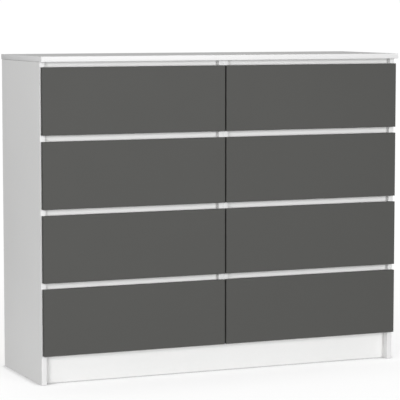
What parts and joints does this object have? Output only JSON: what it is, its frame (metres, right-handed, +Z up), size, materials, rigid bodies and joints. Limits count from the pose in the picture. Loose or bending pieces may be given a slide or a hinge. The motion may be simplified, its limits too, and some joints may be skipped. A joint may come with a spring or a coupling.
{
  "type": "dresser with drawers",
  "caption": "Wide flat-pack dresser in laminated board: side-by-side columns of handle-less drawers on roller runners, recessed finger slots and a set-back plinth.",
  "frame": {"origin": "on the floor, under the middle of the object's bounding box, which is the top panel's outline", "axes": "+X to the right seen from the front, the drawer fronts face -Y, +Z up"},
  "size_m": [1.2, 0.4, 0.99],
  "materials": {
    "white_laminate": "white melamine on chipboard, matt",
    "graphite_laminate": "graphite grey melamine on chipboard, matt",
    "drawer_board": "white melamine on 12 mm chipboard, matt",
    "hardboard": "hardboard, lacquered white on one side",
    "coated_steel": "white epoxy coated steel, satin",
    "white_edge_band": "white ABS edge band, satin",
    "graphite_edge_band": "graphite grey ABS edge band, satin",
    "raw_hardboard": "bare brown hardboard",
    "roller_nylon": "off-white nylon",
    "zinc_hardware": "bright zinc",
    "clear_bumper": "clear soft polyurethane"
  },
  "bodies": {
    "carcass": {"top_panel": "white_laminate", "bottom_panel": "white_laminate", "plinth": "white_laminate", "centre_support": "white_laminate", "left_side_panel": "white_laminate", "left_partition": "white_laminate", "right_side_panel": "white_laminate", "right_partition": "white_laminate", "left_back_panel": "hardboard", "right_back_panel": "hardboard", "left_rail_1": "white_laminate", "left_rail_2": "white_laminate", "left_rail_3": "white_laminate", "left_rail_4": "white_laminate", "right_rail_1": "white_laminate", "right_rail_2": "white_laminate", "right_rail_3": "white_laminate", "right_rail_4": "white_laminate", "left_runner_1_outer": "coated_steel", "left_runner_1_inner": "coated_steel", "left_runner_2_outer": "coated_steel", "left_runner_2_inner": "coated_steel", "left_runner_3_outer": "coated_steel", "left_runner_3_inner": "coated_steel", "left_runner_4_outer": "coated_steel", "left_runner_4_inner": "coated_steel", "right_runner_1_outer": "coated_steel", "right_runner_1_inner": "coated_steel", "right_runner_2_outer": "coated_steel", "right_runner_2_inner": "coated_steel", "right_runner_3_outer": "coated_steel", "right_runner_3_inner": "coated_steel", "right_runner_4_outer": "coated_steel", "right_runner_4_inner": "coated_steel"},
    "left_drawer_1": {"left_drawer_1_front": "graphite_laminate", "left_drawer_1_box": "drawer_board", "left_drawer_1_bottom": "hardboard"},
    "left_drawer_2": {"left_drawer_2_front": "graphite_laminate", "left_drawer_2_box": "drawer_board", "left_drawer_2_bottom": "hardboard"},
    "left_drawer_3": {"left_drawer_3_front": "graphite_laminate", "left_drawer_3_box": "drawer_board", "left_drawer_3_bottom": "hardboard"},
    "left_drawer_4": {"left_drawer_4_front": "graphite_laminate", "left_drawer_4_box": "drawer_board", "left_drawer_4_bottom": "hardboard"},
    "right_drawer_1": {"right_drawer_1_front": "graphite_laminate", "right_drawer_1_box": "drawer_board", "right_drawer_1_bottom": "hardboard"},
    "right_drawer_2": {"right_drawer_2_front": "graphite_laminate", "right_drawer_2_box": "drawer_board", "right_drawer_2_bottom": "hardboard"},
    "right_drawer_3": {"right_drawer_3_front": "graphite_laminate", "right_drawer_3_box": "drawer_board", "right_drawer_3_bottom": "hardboard"},
    "right_drawer_4": {"right_drawer_4_front": "graphite_laminate", "right_drawer_4_box": "drawer_board", "right_drawer_4_bottom": "hardboard"}
  },
  "joints": [
    {"name": "left_drawer_1_slide", "type": "slide", "parent": "carcass", "child": "left_drawer_1", "axis": [0, -1, 0], "range_m": [0, 0.26]},
    {"name": "left_drawer_2_slide", "type": "slide", "parent": "carcass", "child": "left_drawer_2", "axis": [0, -1, 0], "range_m": [0, 0.26]},
    {"name": "left_drawer_3_slide", "type": "slide", "parent": "carcass", "child": "left_drawer_3", "axis": [0, -1, 0], "range_m": [0, 0.26]},
    {"name": "left_drawer_4_slide", "type": "slide", "parent": "carcass", "child": "left_drawer_4", "axis": [0, -1, 0], "range_m": [0, 0.26]},
    {"name": "right_drawer_1_slide", "type": "slide", "parent": "carcass", "child": "right_drawer_1", "axis": [0, -1, 0], "range_m": [0, 0.26]},
    {"name": "right_drawer_2_slide", "type": "slide", "parent": "carcass", "child": "right_drawer_2", "axis": [0, -1, 0], "range_m": [0, 0.26]},
    {"name": "right_drawer_3_slide", "type": "slide", "parent": "carcass", "child": "right_drawer_3", "axis": [0, -1, 0], "range_m": [0, 0.26]},
    {"name": "right_drawer_4_slide", "type": "slide", "parent": "carcass", "child": "right_drawer_4", "axis": [0, -1, 0], "range_m": [0, 0.26]}
  ]
}
